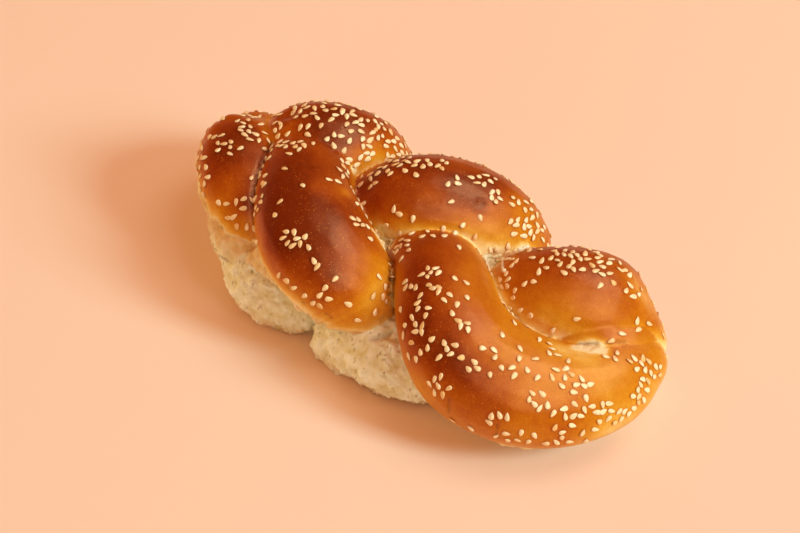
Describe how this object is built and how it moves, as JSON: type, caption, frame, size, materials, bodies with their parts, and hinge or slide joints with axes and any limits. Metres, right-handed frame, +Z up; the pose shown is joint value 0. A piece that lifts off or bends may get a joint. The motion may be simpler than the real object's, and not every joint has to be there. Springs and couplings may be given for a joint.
{
  "type": "challah loaf",
  "caption": "Plaited challah loaf with an egg-glazed brown crust, pale flanks and sesame seeds, lying on its flat base.",
  "frame": {"origin": "middle of the flat base, under the centre of the loaf's bounding box", "axes": "+X along the loaf towards the end where two ropes join in one round loop, +Z up, -Y towards the side seen in the picture"},
  "size_m": [0.2274, 0.1116, 0.0572],
  "materials": {
    "crust": "baked crust glazed with egg, brown on the crests and golden in the creases, pale and matt on the lower flanks",
    "sesame": "pale cream hulled sesame seeds, satin"
  },
  "bodies": {
    "root": {"challah": "crust"}
  },
  "joints": []
}
